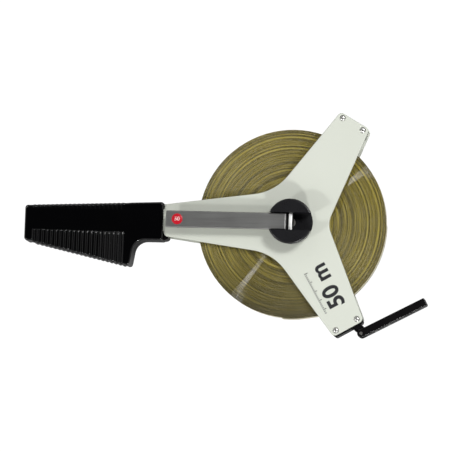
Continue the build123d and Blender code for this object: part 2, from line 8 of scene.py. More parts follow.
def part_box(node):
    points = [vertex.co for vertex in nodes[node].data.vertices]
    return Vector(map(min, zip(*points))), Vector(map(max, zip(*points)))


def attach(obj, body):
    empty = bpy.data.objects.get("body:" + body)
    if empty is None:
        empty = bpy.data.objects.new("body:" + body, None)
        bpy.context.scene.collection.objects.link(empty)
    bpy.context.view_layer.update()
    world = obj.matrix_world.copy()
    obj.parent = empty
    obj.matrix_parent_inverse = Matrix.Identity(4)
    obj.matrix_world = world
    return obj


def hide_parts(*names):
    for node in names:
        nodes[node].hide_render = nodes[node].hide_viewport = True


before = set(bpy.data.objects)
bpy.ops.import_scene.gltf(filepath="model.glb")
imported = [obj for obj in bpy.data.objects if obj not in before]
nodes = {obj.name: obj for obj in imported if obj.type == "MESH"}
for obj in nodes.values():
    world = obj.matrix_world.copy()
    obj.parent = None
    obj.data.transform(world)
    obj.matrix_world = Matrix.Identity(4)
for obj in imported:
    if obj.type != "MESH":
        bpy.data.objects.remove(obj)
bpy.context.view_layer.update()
mm = 0.001


def spanOf(node, axis):
    # lowest and highest place of a node along an axis, in millimetres
    return [getattr(corner, axis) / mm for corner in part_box(node)]


frontFace = spanOf("front_plate", "z")[1]
rearFace = spanOf("rear_plate", "z")[0]
coilRadius = spanOf("tape_coil", "x")[1]
coilLow, coilHigh = spanOf("tape_coil", "z")
middle = (coilLow + coilHigh) / 2


class Wire:
    # one node output; arithmetic on it adds Math nodes to its tree
    def __init__(self, tree, socket):
        self.tree, self.socket = tree, socket

    def math(self, operation, *others):
        values = dict(enumerate((self, *others)))
        return self.tree.node("ShaderNodeMath", {"operation": operation}, values)

    def __add__(self, other):
        return self.math("ADD", other)

    def __sub__(self, other):
        return self.math("SUBTRACT", other)

    def __rsub__(self, other):
        return self.tree.node("ShaderNodeMath", {"operation": "SUBTRACT"}, {0: other, 1: self})

    def __mul__(self, other):
        return self.math("MULTIPLY", other)

    def __truediv__(self, other):
        return self.math("DIVIDE", other)

    def __gt__(self, other):
        return self.math("GREATER_THAN", other)

    def __lt__(self, other):
        return self.math("LESS_THAN", other)

    __radd__, __rmul__ = __add__, __mul__


class Tree:
    # a shader or geometry tree; every node is added by the one method
    def __init__(self, tree):
        self.tree = tree

    def node(self, kind, settings=None, sockets=None, out=0):
        made = self.tree.nodes.new(kind)
        for name, value in (settings or {}).items():
            if name == "stops":
                fillRamp(made.color_ramp, value)
            else:
                setattr(made, name, value)
        for key, value in (sockets or {}).items():
            if isinstance(value, Wire):
                self.tree.links.new(value.socket, made.inputs[key])
            else:
                made.inputs[key].default_value = value
        return Wire(self, made.outputs[out])


def fillRamp(ramp, stops):
    while len(ramp.elements) < len(stops):
        ramp.elements.new(0.5)
    for element, (position, shade) in zip(ramp.elements, stops):
        element.position = position
        element.color = (shade, shade, shade, 1) if isinstance(shade, (int, float)) else (*shade, 1)


class Finish(Tree):
    # a surface: Principled shader, fixed values set on its own sockets, the rest fed by nodes
    def __init__(self, name, fixed):
        self.material = bpy.data.materials.new(name)
        self.material.use_nodes = True
        super().__init__(self.material.node_tree)
        self.shader = self.tree.nodes["Principled BSDF"]
        for socket, value in fixed.items():
            self.shader.inputs[socket].default_value = value
        self.place = self.node("ShaderNodeTexCoord", out="Object")

    def feed(self, **wires):
        names = {"colour": "Base Color", "roughness": "Roughness", "metallic": "Metallic",
                 "normal": "Normal"}
        for key, wire in wires.items():
            self.tree.links.new(wire.socket, self.shader.inputs[names[key]])
        return self.material

    def stretched(self, scale):
        return self.node("ShaderNodeMapping", {}, {"Vector": self.place, "Scale": scale})

    def grain(self, scale, detail=3.0, at=None, distortion=0.0):
        sockets = {"Vector": at or self.place, "Scale": scale, "Detail": detail,
                   "Distortion": distortion}
        return self.node("ShaderNodeTexNoise", {}, sockets)

    def ramp(self, value, stops):
        return self.node("ShaderNodeValToRGB", {"stops": stops}, {"Fac": value})

    def tint(self, factor, low, high):
        colours = {0: factor, 6: (*low, 1), 7: (*high, 1)}
        return self.node("ShaderNodeMix", {"data_type": "RGBA"}, colours, out=2)

    def over(self, factor, below, above):
        above = above if isinstance(above, Wire) else (*above, 1)
        return self.node("ShaderNodeMix", {"data_type": "RGBA"}, {0: factor, 6: below, 7: above}, out=2)

    def bump(self, height, distance, strength):
        sockets = {"Strength": strength, "Distance": distance, "Height": height}
        return self.node("ShaderNodeBump", {}, sockets)


class Recipe(Tree):
    # a Geometry Nodes tree with named sizes; made() turns it into a plain mesh
    def __init__(self, name, sizes):
        group = bpy.data.node_groups.new(name, "GeometryNodeTree")
        super().__init__(group)
        faces = group.interface
        faces.new_socket("Geometry", in_out="INPUT", socket_type="NodeSocketGeometry")
        faces.new_socket("Geometry", in_out="OUTPUT", socket_type="NodeSocketGeometry")
        self.values = {}
        for label, value in sizes.items():
            kind = "NodeSocketInt" if isinstance(value, int) else "NodeSocketFloat"
            socket = faces.new_socket(label, in_out="INPUT", socket_type=kind)
            self.values[socket.identifier] = value
        self.entry = group.nodes.new("NodeGroupInput")

    def size(self, label):
        return Wire(self, self.entry.outputs[label])

    def end(self, geometry, material):
        whole = self.node("GeometryNodeRealizeInstances", {}, {0: geometry})
        coated = self.node("GeometryNodeSetMaterial", {}, {"Geometry": whole, "Material": material})
        outlet = self.tree.nodes.new("NodeGroupOutput")
        self.tree.links.new(coated.socket, outlet.inputs[0])

    def made(self, name, base=None):
        base = base or addPiece(name + "Base", bpy.data.meshes.new(name + "Base"))
        modifier = base.modifiers.new("recipe", "NODES")
        modifier.node_group = self.tree
        for identifier, value in self.values.items():
            modifier[identifier] = value
        mesh = plainMesh(base)
        bpy.data.objects.remove(base)
        return addPiece(name, mesh)


def addPiece(name, mesh, material=None):
    piece = bpy.data.objects.new(name, mesh)
    bpy.context.scene.collection.objects.link(piece)
    if material:
        mesh.materials.clear()
        mesh.materials.append(material)
    return piece


def plainMesh(piece):
    # the evaluated object as a mesh of its own, with its modifiers taken off
    graph = bpy.context.evaluated_depsgraph_get()
    graph.update()
    mesh = bpy.data.meshes.new_from_object(piece.evaluated_get(graph))
    piece.modifiers.clear()
    return mesh


def meshFrom(name, points, faces, smooth=True):
    mesh = bpy.data.meshes.new(name)
    mesh.from_pydata([tuple(p) for p in points], [], faces)
    mesh.polygons.foreach_set("use_smooth", [smooth] * len(mesh.polygons))
    mesh.update()
    return mesh


def heading(angle, distance, side=0.0):
    # point at a distance along a heading and to its left, in the frame's plane
    a = math.radians(angle)
    return Vector((distance * math.cos(a) - side * math.sin(a),
                   distance * math.sin(a) + side * math.cos(a)))


def framePaint():
    look = {"tone": (0.655, 0.68, 0.605), "shade": (0.60, 0.625, 0.55), "scuff": (0.50, 0.51, 0.46),
            "peel": 900.0, "rough": 0.40}
    f = Finish("framePaint", {"Coat Weight": 0.12, "Coat Roughness": 0.25, "Specular IOR Level": 0.45})
    cloud = f.grain(14.0, 4.0)
    peel = f.grain(look["peel"], 2.0)
    specks = f.grain(2600.0, 1.0) > 0.70
    scratch = (f.grain(60.0, 5.0, f.stretched((1.0, 9.0, 1.0)), 0.6) > 0.70) * 0.35
    colour = f.tint(cloud, look["shade"], look["tone"])
    colour = f.over(scratch * 0.5 + specks * 0.12, colour, look["scuff"])
    rough = look["rough"] + cloud * 0.10 + scratch * 0.15
    normal = f.bump(peel + cloud * 0.4, 0.00004, 0.35)
    return f.feed(colour=colour, roughness=rough, normal=normal)


def tapeCoat():
    # edge-on the turns are olive steel; flat on they are cream with graduations
    look = {"dark": (0.022, 0.017, 0.003), "tone": (0.145, 0.114, 0.009), "light": (0.46, 0.375, 0.055),
            "cream": (0.78, 0.74, 0.56), "ink": (0.02, 0.02, 0.02), "pitch": 0.5 * mm,
            "step": 10.0 * mm, "tick": 5.0 * mm, "paintedBottomShade": 0.9}
    f = Finish("tapeCoat", {"Specular IOR Level": 0.05, "Specular Tint": (1.0, 0.93, 0.66, 1)})
    split = {name: f.node("ShaderNodeSeparateXYZ", {}, {0: f.place}, out=name) for name in "XYZ"}
    x, y, z = split["X"], split["Y"], split["Z"]
    radius = (x * x + y * y).math("SQRT")
    turn = (radius / look["pitch"]).math("FLOOR")
    angle = y.math("ARCTAN2", x)
    perTurn = f.node("ShaderNodeTexWhiteNoise", {"noise_dimensions": "1D"}, {"W": turn})
    bands, lines = (f.node("ShaderNodeTexNoise", {"noise_dimensions": "1D"},
                           {"W": radius, "Scale": scale, "Detail": 3.0, "Roughness": 0.7})
                    for scale in (340.0, 1500.0))
    ringed = f.node("ShaderNodeCombineXYZ", {}, {0: angle * 1.1, 1: radius * 900.0, 2: 0.0})
    arcs = f.grain(1.6, 4.0, ringed)
    dirt = f.grain(90.0, 4.0)
    body = f.ramp(bands * 0.34 + lines * 0.56 + perTurn * 0.22 + arcs * 0.44 - 0.28,
                  [(0.39, look["dark"]), (0.50, look["tone"]), (0.62, look["light"])])
    # painted shade: the coil's edges darken towards its bottom, standing in for light falling from above,
    # and this shade turns with the reel
    paintedBottomShade = f.node("ShaderNodeMapRange", {}, {"Value": y, "From Min": -0.040, "From Max": -0.095})
    edge = f.over(paintedBottomShade * look["paintedBottomShade"], body, look["dark"])
    along = (angle * (coilRadius * mm) / look["step"]).math("FRACT")
    tick = (along < 0.07) * (z < coilLow * mm + look["tick"])
    flat = f.over(tick, f.tint(dirt, (0.70, 0.66, 0.49), look["cream"]), look["ink"])
    facing = f.node("ShaderNodeNewGeometry", out="Normal")
    side = f.node("ShaderNodeSeparateXYZ", {}, {0: facing}, out="Z").math("ABSOLUTE") < 0.5
    colour = f.over(side, edge, flat)
    metallic = (1 - side) * 0.60
    rough = 0.46 + perTurn * 0.16 + side * 0.2 + dirt * 0.10
    normal = f.bump(lines * 0.6 + perTurn * 0.5, 0.00005, 0.5)
    return f.feed(colour=colour, metallic=metallic, roughness=rough, normal=normal)


def brushedSteel():
    look = {"dark": (0.20, 0.20, 0.195), "tone": (0.46, 0.46, 0.45), "rough": 0.30,
            "bright": (0.92, 0.92, 0.90), "shade": (0.03, 0.03, 0.03), "end": -4.4 * mm,
            "edge": 0.6 * mm, "knuckle": 1.7 * mm}
    f = Finish("brushedSteel", {"Metallic": 1.0, "Specular IOR Level": 0.5})
    long = f.grain(1.0, 6.0, f.stretched((28.0, 2600.0, 2600.0)))
    fine = f.grain(1.0, 3.0, f.stretched((90.0, 9000.0, 9000.0)))
    smear = f.grain(36.0, 3.0)
    colour = f.tint(long * 0.6 + fine * 0.2 + smear * 0.25, look["dark"], look["tone"])
    x = f.node("ShaderNodeSeparateXYZ", {}, {0: f.place}, out="X")
    gap, knuckleHighlight = x > look["end"], x.math("ABSOLUTE") < look["knuckle"]
    brimHighlight = (x > look["end"] - look["edge"]) * (x < look["end"])
    # painted shade: past the strip's end the coat turns near black, standing in for the shade inside the
    # hub's slot; the tape end link shares this coat
    colour = f.over(gap, colour, look["shade"])
    # painted highlights: a white bar along the hinge knuckle's crest and a light line along the strip's
    # end brim
    colour = f.over((knuckleHighlight + brimHighlight * 0.5).math("MINIMUM", 1.0), colour, look["bright"])
    rough = look["rough"] + long * 0.16 + smear * 0.10
    normal = f.bump(long + fine * 0.6, 0.00003, 0.6)
    # the knuckle's painted highlight is also made mostly non-metallic so that it stays white
    return f.feed(colour=colour, roughness=rough, metallic=1 - knuckleHighlight * 0.75, normal=normal)


def plainSteel(name, tone, rough, turning=0.0):
    # plated or polished steel, with faint turning rings where turning is given
    f = Finish(name, {"Metallic": 1.0})
    haze = f.grain(320.0, 4.0)
    fine = f.grain(3500.0, 2.0)
    colour = f.tint(haze, tuple(0.82 * c for c in tone), tone)
    normal = f.bump(fine + haze * turning, 0.00002, 0.25)
    return f.feed(colour=colour, roughness=rough + haze * 0.10 + fine * 0.03, normal=normal)


def mouldedPlastic(name, tone, rough, texture, depth, lift=1.6, gloss=0.5):
    # injection-moulded plastic: fine spark texture, slight cloudiness, rubbed patches
    f = Finish(name, {"Specular IOR Level": gloss})
    cloud = f.grain(26.0, 4.0)
    spark = f.grain(texture, 3.0)
    rubbed = f.ramp(f.grain(70.0, 5.0), [(0.45, 0.0), (0.75, 1.0)])
    colour = f.tint(cloud * 0.7 + rubbed * 0.3, tone, tuple(lift * c for c in tone))
    roughness = rough + spark * 0.10 - rubbed * 0.06
    return f.feed(colour=colour, roughness=roughness, normal=f.bump(spark, depth, 0.5))


def printInk(name, tone):
    f = Finish(name, {"Specular IOR Level": 0.4})
    patchy = f.grain(700.0, 4.0)
    colour = f.tint(patchy, tone, tuple(min(1.0, 1.25 * c + 0.01) for c in tone))
    return f.feed(colour=colour, roughness=0.45 + patchy * 0.12,
                  normal=f.bump(f.grain(1500.0, 2.0), 0.00002, 0.3))


paint = framePaint()
tape = tapeCoat()
strip = brushedSteel()
polished = plainSteel("polishedSteel", (0.66, 0.66, 0.63), 0.26)
plated = plainSteel("platedSteel", (0.52, 0.51, 0.48), 0.28, 0.6)
grip = mouldedPlastic("gripPlastic", (0.0010, 0.0010, 0.0012), 0.10, 2400.0, 0.000008)
fitting = mouldedPlastic("fittingPlastic", (0.0030, 0.0026, 0.0030), 0.20, 1900.0, 0.000012)
hubBlack = mouldedPlastic("hubPlastic", (0.0080, 0.0080, 0.0090), 0.26, 2200.0, 0.00002)
acetal = mouldedPlastic("acetal", (0.74, 0.74, 0.70), 0.32, 900.0, 0.00002, 1.12)
red = mouldedPlastic("badgeRed", (0.46, 0.009, 0.020), 0.22, 1100.0, 0.00002, 1.25)
blackInk = printInk("blackInk", (0.010, 0.010, 0.012))
paleInk = printInk("paleInk", (0.80, 0.62, 0.60))

coats = {
    paint: ["front_plate", "rear_plate"],
    tape: ["tape_lead"],
    strip: ["crank_strip", "tape_end_link"],
    plated: ["upper_brace", "axle", "axle_key", "retaining_ring", "flange_screws", "hub_screw",
             "link_rivets", "bar_pin", "knob_stud"],
    polished: ["bar_rivets", "crank_hinge_pin", "roller_pins"],
    fitting: ["upper_end_block", "mouth_block", "neck_block", "end_fitting", "pull_bar",
              "rear_cap", "spool_drum", "spool_front_flange", "spool_rear_flange"],
    hubBlack: ["crank_hub"],
    acetal: ["entry_roller", "exit_roller", "front_bush", "rear_bush"],
    red: ["crank_badge"],
}
for material, names in coats.items():
    for name in names:
        nodes[name].data.materials.clear()
        nodes[name].data.materials.append(material)
print("finishes made")


# wound tape
windingSizes = {
    "Inner radius": 33.2 * mm, "Outer radius": (coilRadius - 0.25) * mm, "Turns": 122,
    "Steps per turn": 80, "Tape width": 12.4 * mm, "Tape body": 0.40 * mm,
    "Edge round": 0.10 * mm, "Unevenness": 0.55 * mm, "Middle": middle * mm,
}


def windTape(sizes):
    r = Recipe("windTape", sizes)
    steps = r.size("Steps per turn")
    line = r.node("GeometryNodeMeshLine", {}, {"Count": r.size("Turns") * steps + 1})
    path = r.node("GeometryNodeMeshToCurve", {}, {0: line})
    turn = r.node("GeometryNodeInputIndex") / steps
    pitch = (r.size("Outer radius") - r.size("Inner radius")) / r.size("Turns")
    radius = r.size("Inner radius") + pitch * turn
    angle = turn * (2 * math.pi)
    drift = r.node("ShaderNodeTexNoise", {"noise_dimensions": "1D"},
                   {"W": turn, "Scale": 0.83, "Detail": 4.0, "Roughness": 0.8})
    lift = r.size("Middle") + (drift - 0.5) * r.size("Unevenness")
    place = r.node("ShaderNodeCombineXYZ", {}, {0: radius * angle.math("COSINE"),
                                                1: radius * angle.math("SINE"), 2: lift})
    path = r.node("GeometryNodeSetPosition", {}, {"Geometry": path, "Position": place})
    path = r.node("GeometryNodeSetCurveNormal", {"mode": "Z_UP"}, {"Curve": path})
    section = r.node("GeometryNodeCurvePrimitiveQuadrilateral", {"mode": "RECTANGLE"},
                     {"Width": r.size("Tape body"), "Height": r.size("Tape width")})
    section = r.node("GeometryNodeFilletCurve", {"mode": "POLY"},
                     {"Curve": section, "Count": 1, "Radius": r.size("Edge round")})
    wound = r.node("GeometryNodeCurveToMesh", {}, {"Curve": path, "Profile Curve": section,
                                                   "Fill Caps": True})
    r.end(r.node("GeometryNodeSetShadeSmooth", {}, {0: wound}), tape)
    return r.made("tapeTurns")


tapeTurns = windTape(windingSizes)
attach(tapeTurns, "reel")
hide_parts("tape_coil")
print("tape wound")


# handle
handleSizes = {
    "corners": [(-269.3, 12.2), (-129.0, 17.9), (-129.0, -20.4), (-157.8, -20.4),
                (-162.0, -47.5), (-269.3, -23.3)],
    "rounds": [3.6, 2.3, 2.3, 13.0, 3.6, 3.6],
    "edgeRound": 2.2, "wall": 1.8, "seam": 0.1, "mouthHalf": 11.2, "levelBand": 6.0,
    "ribbed": (-265.7, -167.0), "notch": (-167.0, -143.0), "ribTop": -12.4,
    "steps": {"edge": 8, "ribbed": 264, "notch": 48, "neck": 6},
    "wallLevels": [24.0, 21.0, 18.0],
}
ribSizes = {
    "First rib": -259.4 * mm, "Pitch": 4.47 * mm, "Ribs": 21, "Rib width": 3.1 * mm,
    "Depth": 1.1 * mm, "Rib line": -12.2 * mm, "Line slope": 0.012, "End length": 1.1 * mm,
    "Tail start": -267.8 * mm, "Tail end": -264.6 * mm,
    "Nose start": -168.0 * mm, "Nose end": -160.0 * mm,
    "Back start": 8.5 * mm, "Back end": 10.5 * mm, "Back bumps": 0.35 * mm,
}
holeSizes = {"head": 3.35, "seat": 2.4, "shank": 1.9, "below": -3.0, "end": 6.0}
screwPlaces = [(-145.0, -1.5), (-162.0, -1.5), (-212.0, -8.0), (-252.0, -5.0)]


def roundedOutline(corners, rounds, steps=10):
    # closed polyline with each corner replaced by a tangent arc
    points = []
    for i, corner in enumerate(corners):
        here = Vector(corner)
        back = (Vector(corners[i - 1]) - here).normalized()
        ahead = (Vector(corners[(i + 1) % len(corners)]) - here).normalized()
        half = back.angle(ahead) / 2
        centre = here + (back + ahead).normalized() * rounds[i] / math.sin(half)
        reach = rounds[i] / math.tan(half)
        start, stop = here + back * reach - centre, here + ahead * reach - centre
        sweep = start.angle_signed(stop)
        points += [centre + Matrix.Rotation(-sweep * k / steps, 2) @ start for k in range(steps + 1)]
    return np.array([tuple(p) for p in points])


def distanceTo(outline, points):
    # shortest distance from each point to the closed outline
    best = np.full(len(points), 1e9)
    for p, q in zip(outline, np.roll(outline, -1, axis=0)):
        run = q - p
        length = run @ run
        if length < 1e-12:
            continue
        t = np.clip(((points - p) @ run) / length, 0, 1)
        best = np.minimum(best, np.hypot(*(points - (p + t[:, None] * run)).T))
    return best


def crossing(outline, x):
    # lowest and highest point of the outline at a station
    found = []
    for (x0, y0), (x1, y1) in zip(outline, np.roll(outline, -1, axis=0)):
        if min(x0, x1) - 1e-9 <= x <= max(x0, x1) + 1e-9:
            upright = abs(x1 - x0) < 1e-9
            found += [y0, y1] if upright else [y0 + (y1 - y0) * (x - x0) / (x1 - x0)]
    return min(found), max(found)


def spread(start, end, count, ease=0):
    # stations from start to end, crowded towards the start (-1), the end (1) or neither
    t = np.linspace(0, 1, count, endpoint=False)
    if ease < 0:
        t = 1 - np.cos(t * math.pi / 2)
    if ease > 0:
        t = np.sin(t * math.pi / 2)
    return list(start + (end - start) * t)


def faceStations(outline):
    # columns of points across the handle's face, close together along the ribs and the notch
    s, steps = handleSizes, handleSizes["steps"]
    left, right = outline[:, 0].min(), outline[:, 0].max()
    corner, edge, line = s["rounds"][0], s["edgeRound"], s["ribTop"]
    xs = spread(left, left + corner, steps["edge"], -1)
    xs += spread(*s["ribbed"], steps["ribbed"]) + spread(*s["notch"], steps["notch"])
    xs += spread(s["notch"][1], right - corner, steps["neck"])
    xs += spread(right - corner, right, steps["edge"], 1) + [right]
    columns = []
    for x in xs:
        low, high = crossing(outline, x)
        upper = min(s["mouthHalf"], high - edge - 0.05)
        rows = spread(low, low + edge, 7, -1) + spread(low + edge, line - 1.2, 12)
        rows += spread(line - 1.2, line + 1.0, 7) + spread(line + 1.0, upper, 12)
        rows += spread(upper, high - edge, 2) + spread(high - edge, high, 7, 1) + [high]
        columns.append([(x, y) for y in rows])
    return np.array(columns)


def roundedFace(columns, outline, top):
    # the face's points, dropped along its edge by a quarter round
    flat, edge = columns.reshape(-1, 2), handleSizes["edgeRound"]
    inset = np.clip(distanceTo(outline, flat), 0, edge)
    drop = edge - np.sqrt(np.maximum(0, edge ** 2 - (edge - inset) ** 2))
    return [tuple(p) for p in np.column_stack([flat, top - drop])]


def addSideWall(points, faces, rim, right, mouthTop, joint):
    # rings of points from the rim down to the joint, open where the frame's tongues enter
    s = handleSizes
    above = rim
    for z in (mouthTop, *s["wallLevels"], joint):
        below = list(range(len(points), len(points) + len(rim)))
        points += [(points[k][0], points[k][1], z) for k in rim]
        for k in range(len(rim)):
            a, b = below[k], below[(k + 1) % len(rim)]
            atMouth = points[a][0] > right - 1e-6 and points[b][0] > right - 1e-6
            inMouth = abs(points[a][1] + points[b][1]) / 2 < s["mouthHalf"] and z < mouthTop - 0.5
            if not (atMouth and inMouth):
                faces.append((above[k], a, b, above[(k + 1) % len(rim)]))
        above = below


def handleSkin(name, front):
    # one half of the handle as a wall of even thickness, before its ribs
    s = handleSizes
    top = spanOf("handle_front_shell", "z")[1]
    outline = roundedOutline(s["corners"], s["rounds"])
    columns = faceStations(outline)
    wide, tall = columns.shape[:2]
    points = roundedFace(columns, outline, top)
    faces = [(i * tall + j, (i + 1) * tall + j, (i + 1) * tall + j + 1, i * tall + j + 1)
             for i in range(wide - 1) for j in range(tall - 1)]
    rim = [i * tall for i in range(wide)]
    rim += [(wide - 1) * tall + j for j in range(1, tall)]
    rim += [i * tall + tall - 1 for i in range(wide - 2, -1, -1)]
    rim += [j for j in range(tall - 2, 0, -1)]
    addSideWall(points, faces, rim, outline[:, 0].max(), frontFace, middle + s["seam"])
    if not front:
        points = [(x, y, top - z) for x, y, z in points]
        faces = [tuple(reversed(face)) for face in faces]
    mesh = meshFrom(name, [Vector(p) * mm for p in points], faces)
    skin = addPiece(name + "Base", mesh)

    # outward push of each outer point, level where the two halves meet
    push = {}
    for v in mesh.vertices:
        n = v.normal.copy()
        if abs(v.co.z - middle * mm) < s["levelBand"] * mm:
            n.z = 0
        push[keyOf(v.co)] = n.normalized()
    solid = skin.modifiers.new("wall", "SOLIDIFY")
    solid.thickness, solid.offset, solid.use_rim = s["wall"] * mm, -1, True
    shell = addPiece(name + "Shell", plainMesh(skin))
    bpy.data.objects.remove(skin)
    outward = shell.data.attributes.new("outward", "FLOAT_VECTOR", "POINT")
    for i, v in enumerate(shell.data.vertices):
        outward.data[i].vector = push.get(keyOf(v.co), (0, 0, 0))
    return shell


def keyOf(co):
    return tuple(round(c * 1e6) for c in co)


def ribWrap(name, shell):
    # sinks the skin between ribs that stand at its full height and wrap round its lower edge
    r = Recipe(name + "Ribs", ribSizes)
    place = r.node("GeometryNodeInputPosition")
    x, y, z = (r.node("ShaderNodeSeparateXYZ", {}, {0: place}, out=axis) for axis in "XYZ")
    turn = (x - r.size("First rib")) / r.size("Pitch")
    nearest = (turn + 0.5).math("FLOOR")
    inside = (nearest > -0.5) * (nearest < r.size("Ribs") - 0.5)
    off = ((turn - nearest) * r.size("Pitch") / (r.size("Rib width") * 0.5)).math("ABSOLUTE")
    crest = (1 - off * off).math("MAXIMUM", 0.0).math("SQRT") * inside
    line = r.size("Rib line") - (x - r.size("First rib")) * r.size("Line slope")
    gap = ((line - y) / r.size("End length")).math("MAXIMUM", 0.0).math("MINIMUM", 1.0)
    ended = (1 - (1 - gap) * (1 - gap)).math("SQRT")
    fade = easedStep(r, x, "Tail") * (1 - easedStep(r, x, "Nose"))
    backs = easedStep(r, y, "Back")
    sink = r.size("Depth") * (1 - crest * ended)
    sink = sink - (r.size("Depth") - r.size("Back bumps") * (1 - crest)) * backs
    outward = r.node("GeometryNodeInputNamedAttribute", {"data_type": "FLOAT_VECTOR"},
                     {"Name": "outward"})
    facing = r.node("ShaderNodeSeparateXYZ", {}, {0: outward}, out="Z").math("ABSOLUTE")
    share = facing + (1 - facing) * fade
    scale = {0: outward, "Scale": sink * share * -1.0}
    shift = r.node("ShaderNodeVectorMath", {"operation": "SCALE"}, scale)
    moved = r.node("GeometryNodeSetPosition", {}, {"Geometry": r.size("Geometry"), "Offset": shift})
    r.end(moved, grip)
    return r.made(name, shell)


def easedStep(r, value, place):
    # smooth rise from 0 to 1 between a place's start and end
    settings = {"interpolation_type": "SMOOTHSTEP"}
    limits = {"From Min": r.size(place + " start"), "From Max": r.size(place + " end")}
    return r.node("ShaderNodeMapRange", settings, {"Value": value, **limits})


def lathe(name, profile, segments=32, smooth=True):
    # closed turned solid; a profile point is (radius, height, shape) and both ends lie on the axis
    points, faces, rings = [], [], []
    for radius, height, *shape in profile:
        if radius < 1e-9:
            rings.append([len(points)])
            points.append((0, 0, height * mm))
            continue
        rings.append(list(range(len(points), len(points) + segments)))
        for k in range(segments):
            a = 2 * math.pi * k / segments
            rr = radius * (polar(shape[0], a) if shape else 1.0)
            points.append((rr * math.cos(a) * mm, rr * math.sin(a) * mm, height * mm))
    for low, high in zip(rings, rings[1:]):
        for k in range(segments):
            n = (k + 1) % segments
            if len(low) == 1:
                faces.append((low[0], high[n], high[k]))
            elif len(high) == 1:
                faces.append((low[k], low[n], high[0]))
            else:
                faces.append((low[k], low[n], high[n], high[k]))
    return meshFrom(name, points, faces, smooth)


def polar(shape, angle):
    # radius of a drive recess or fluted rim at an angle, as a share of its largest
    if shape == "cross":
        blade = 0.30
        c, s = abs(math.cos(angle)), abs(math.sin(angle))
        return min(1.0, max(blade / max(s, 1e-6), blade / max(c, 1e-6)) if min(c, s) > 1e-6 else 1.0)
    if shape == "hex":
        sector = math.pi / 3
        return math.cos(sector / 2) / math.cos((angle % sector) - sector / 2)
    wave = 0.5 + 0.5 * math.cos(knobSizes["flutes"] * angle)
    return 1.0 - knobSizes["fluteDepth"] * wave ** 2


def sharpenEdges(mesh, degrees):
    # keeps crisp edges crisp on a smooth-shaded mesh
    work = bmesh.new()
    work.from_mesh(mesh)
    for edge in work.edges:
        edge.smooth = len(edge.link_faces) == 2 and edge.calc_face_angle() < math.radians(degrees)
    work.to_mesh(mesh)
    work.free()


def cutScrewHoles(skin):
    h = holeSizes
    profile = [(0, h["below"]), (h["head"], h["below"]), (h["head"], h["seat"]),
               (h["shank"], h["seat"]), (h["shank"], h["end"]), (0, h["end"])]
    work = bmesh.new()
    for x, y in screwPlaces:
        mesh = lathe("holeCutter", profile, 40, False)
        mesh.transform(Matrix.Translation((x * mm, y * mm, 0)))
        work.from_mesh(mesh)
    joined = bpy.data.meshes.new("holeCutters")
    work.to_mesh(joined)
    work.free()
    cutter = addPiece("holeCutters", joined)
    cut = skin.modifiers.new("holes", "BOOLEAN")
    cut.operation, cut.solver, cut.object = "DIFFERENCE", "EXACT", cutter
    mesh = plainMesh(skin)
    bpy.data.objects.remove(cutter)
    name = skin.name
    bpy.data.objects.remove(skin)
    return addPiece(name, mesh)


frontSkin = ribWrap("handleFrontSkin", handleSkin("handleFrontSkin", True))
rearSkin = cutScrewHoles(ribWrap("handleRearSkin", handleSkin("handleRearSkin", False)))
for skin, node in ((frontSkin, "handle_front_shell"), (rearSkin, "handle_rear_shell")):
    skin.data.materials.clear()
    skin.data.materials.append(grip)
    skin.data.attributes.remove(skin.data.attributes["outward"])
    sharpenEdges(skin.data, 50)
    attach(skin, "frame")
    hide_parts(node)
print("handle moulded")


# rivets and screws
fastenerSizes = {
    "rivetHead": 3.15, "rivetCrown": 1.6, "rivetShank": 2.0, "armReach": 116.0, "rivetSide": 11.8,
    "capScrewCircle": 16.0, "driveDepth": 1.1, "screwEdge": 0.35,
}
handleScrewSizes = {"radius": 3.15, "shank": 1.7, "drive": "cross", "driveRadius": 1.9}
capScrewSizes = {"radius": 2.75, "shank": 1.45, "drive": "hex", "driveRadius": 1.45}


def crownProfile(radius, height, face, up, steps=9):
    # quarter section of a domed head over a flat, rim first
    ball = (radius ** 2 + height ** 2) / (2 * height)
    rim = math.asin(radius / ball)
    rows = [(ball * math.sin(rim * (1 - k / steps)),
             face + up * (ball * math.cos(rim * (1 - k / steps)) - ball + height))
            for k in range(steps + 1)]
    rows[-1] = (0, face + up * height)
    return rows


def setFasteners(name, source, places, material):
    # copies the turned source to each place
    r = Recipe(name + "Set", {"Scale": 1.0, "Turn": 0.7})
    item = r.node("GeometryNodeObjectInfo", {}, {"Object": source}, out="Geometry")
    spin = r.node("GeometryNodeInputIndex") * r.size("Turn")
    turn = r.node("ShaderNodeCombineXYZ", {}, {2: spin})
    points = r.node("GeometryNodeMeshToPoints", {}, {0: r.size("Geometry")})
    placed = r.node("GeometryNodeInstanceOnPoints", {}, {"Points": points, "Instance": item,
                                                         "Rotation": turn, "Scale": r.size("Scale")})
    r.end(placed, material)
    base = addPiece(name + "Base", meshFrom(name + "Base", [(x * mm, y * mm, 0) for x, y in places], []))
    piece = r.made(name, base)
    bpy.data.objects.remove(source)
    sharpenEdges(piece.data, 40)
    return piece


def makeRivets():
    s = fastenerSizes
    lower = crownProfile(s["rivetHead"], s["rivetCrown"], rearFace, -1)[::-1]
    upper = crownProfile(s["rivetHead"], s["rivetCrown"], frontFace, 1)
    shank = [(s["rivetShank"], rearFace), (s["rivetShank"], frontFace)]
    source = addPiece("rivet", lathe("rivet", lower + shank + upper, 40))
    places = [heading(arm, s["armReach"], side * s["rivetSide"])
              for arm in (60, -60) for side in (1, -1)]
    return setFasteners("frameRivetSet", source, places, polished)


def makeScrews(name, places, low, seat, end, radius, shank, drive, driveRadius):
    # head at the rear face, drive recess looking down
    floor, edge = low + fastenerSizes["driveDepth"], fastenerSizes["screwEdge"]
    profile = [(0, floor), (driveRadius * 0.8, floor, drive), (driveRadius, low, drive),
               (radius - edge, low), (radius, low + edge), (radius, seat), (shank, seat),
               (shank, end), (0, end)]
    source = addPiece(name + "One", lathe(name + "One", profile, 48))
    return setFasteners(name, source, places, plated)


